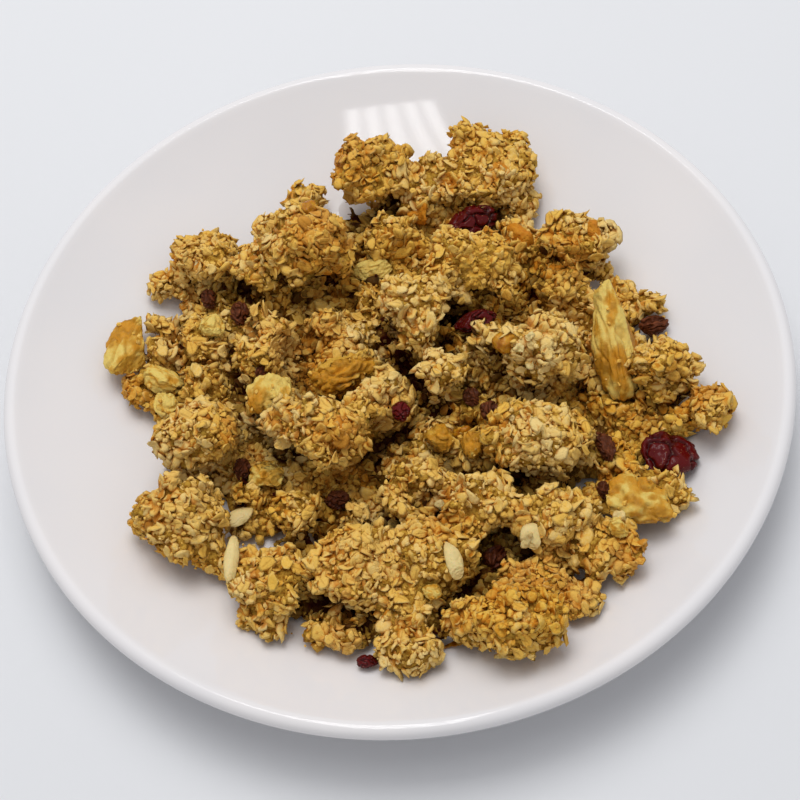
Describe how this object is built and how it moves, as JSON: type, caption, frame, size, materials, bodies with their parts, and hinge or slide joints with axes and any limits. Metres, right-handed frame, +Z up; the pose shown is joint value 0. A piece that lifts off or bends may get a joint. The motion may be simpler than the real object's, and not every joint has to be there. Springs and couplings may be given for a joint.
{
  "type": "plate of granola",
  "caption": "Round white coupe dish with a rolled lip, heaped with baked oat granola clusters, walnut pieces, dried cranberries, raisins and nut slivers.",
  "frame": {"origin": "centre of the dish's foot, on the surface that it stands on", "axes": "+Z up; +Y away from the viewer of the picture, +X to the viewer's right"},
  "size_m": [0.26, 0.26, 0.0524],
  "materials": {
    "plate_glaze": "glossy white glaze",
    "granola": "baked oat flakes in dried syrup, matt with a faint sheen",
    "walnut": "roasted walnut, satin",
    "cranberry": "dried cranberry, wrinkled and a little sticky",
    "raisin": "raisin, wrinkled, satin",
    "nut_sliver": "pale nut sliver, satin"
  },
  "bodies": {
    "root": {"plate": "plate_glaze", "granola_heap": "granola", "walnut_right_upright": "walnut", "walnut_right_front": "walnut", "walnut_left_rim": "walnut", "walnut_left_long": "walnut", "walnut_left_small": "walnut", "walnut_left_chip": "walnut", "walnut_left_top": "walnut", "walnut_centre": "walnut", "walnut_centre_block": "walnut", "walnut_back_chip": "walnut", "walnut_left_low": "walnut", "walnut_front_crumb": "walnut", "walnut_near_top": "walnut", "walnut_right_chip": "walnut", "cranberry_right": "cranberry", "cranberry_back": "cranberry", "cranberry_front": "cranberry", "cranberry_centre": "cranberry", "cranberry_hollow": "cranberry", "raisin_right_edge": "raisin", "raisin_left_back": "raisin", "raisin_left_middle": "raisin", "raisin_top_back": "raisin", "raisin_top_near": "raisin", "raisin_right": "raisin", "raisin_left_side": "raisin", "raisin_front_left": "raisin", "raisin_right_low": "raisin", "raisin_front": "raisin", "raisin_left_top": "raisin", "almond_round": "nut_sliver", "almond_front_long": "nut_sliver", "almond_front_chip": "nut_sliver", "almond_left": "nut_sliver", "seed_left": "nut_sliver"}
  },
  "joints": []
}
